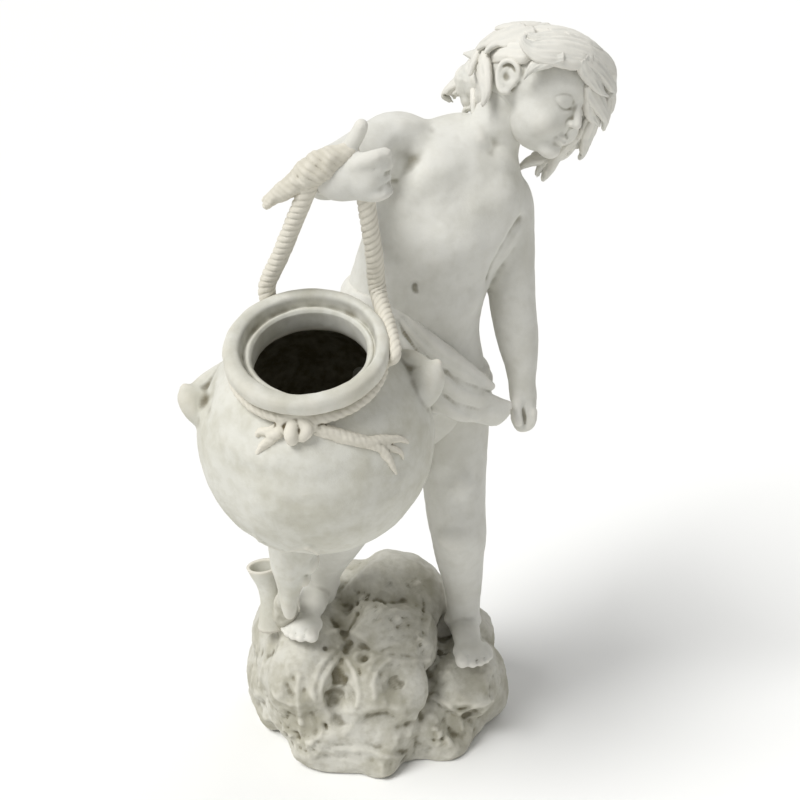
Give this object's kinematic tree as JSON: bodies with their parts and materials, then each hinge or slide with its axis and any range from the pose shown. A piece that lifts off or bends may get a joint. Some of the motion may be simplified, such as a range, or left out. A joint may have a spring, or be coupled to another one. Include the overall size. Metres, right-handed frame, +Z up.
{
  "type": "child garden statue",
  "caption": "Garden statue of a draped child standing on a rock and lifting a round, open, hollow pot by its rope, cast in pale stone as one piece.",
  "frame": {"origin": "on the ground under the statue, on its flat underside", "axes": "+Z up along the statue's height, the statue faces -Y, +X to the right of someone facing it"},
  "size_m": [0.399, 0.346, 0.7639],
  "materials": {
    "cast_stone": "pale cast stone, matt, with olive grime in the recesses and a greyer rock"
  },
  "bodies": {
    "root": {"statue": "cast_stone"}
  },
  "joints": []
}
